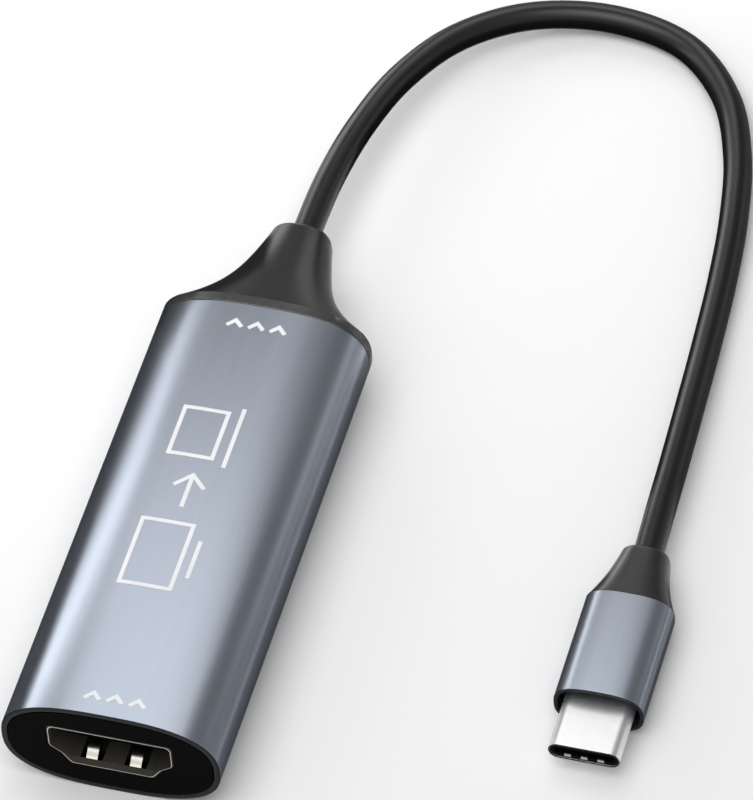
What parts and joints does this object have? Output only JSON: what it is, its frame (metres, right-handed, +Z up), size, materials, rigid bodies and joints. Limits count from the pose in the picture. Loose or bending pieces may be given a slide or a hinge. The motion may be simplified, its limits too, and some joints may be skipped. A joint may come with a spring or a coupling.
{
  "type": "video capture box",
  "caption": "Oval aluminium video capture box with an HDMI socket in its black front, a flared rear boot and a short round lead that ends in a USB-C plug.",
  "frame": {"origin": "under the middle of the box without its lead, on the surface that it rests on", "axes": "+Z up, HDMI socket towards -Y, lead leaving towards +Y, X across the width"},
  "size_m": [0.0684, 0.128, 0.0134],
  "materials": {
    "anodised_sleeve": "fine satin, blue-grey anodised",
    "anodised_plug": "fine satin, blue-grey anodised",
    "black_moulding": "fine moulded texture",
    "boot_rubber": "satin moulded",
    "lead_jacket": "smooth satin",
    "socket_steel": "stamped, tin plated",
    "plug_nickel": "bright nickel plated",
    "can_steel": "tin plated",
    "gold_contacts": "gold plated",
    "board": "black solder mask over glass cloth",
    "chip_resin": "moulded resin",
    "ferrite": "ground ferrite",
    "capacitor_body": "fired ceramic",
    "wire": "extruded insulation",
    "ferrule": "drawn"
  },
  "bodies": {
    "root": {"housing_sleeve": "anodised_sleeve", "front_bezel": "black_moulding", "rear_cap": "boot_rubber", "board_tray": "black_moulding", "main_board": "board", "hdmi_shell": "socket_steel", "hdmi_insulator": "black_moulding", "hdmi_contacts_upper": "gold_contacts", "hdmi_contacts_lower": "gold_contacts", "capture_chip": "chip_resin", "memory_chip": "chip_resin", "regulators": "chip_resin", "power_inductors": "ferrite", "crystal": "can_steel", "capacitors": "capacitor_body", "resistors": "chip_resin", "surge_arrays": "chip_resin", "cable_wires": "wire", "cable_crimp": "ferrule", "cable": "lead_jacket", "plug_sleeve": "anodised_plug", "plug_core": "black_moulding", "plug_boot": "boot_rubber", "plug_shield": "can_steel", "plug_board": "board", "plug_chip": "chip_resin", "plug_wires": "wire", "plug_crimp": "ferrule", "usb_shell": "plug_nickel", "usb_insulator": "black_moulding", "usb_contacts_upper": "gold_contacts", "usb_contacts_lower": "gold_contacts", "usb_ground_springs": "plug_nickel", "usb_latch": "plug_nickel"}
  },
  "joints": []
}
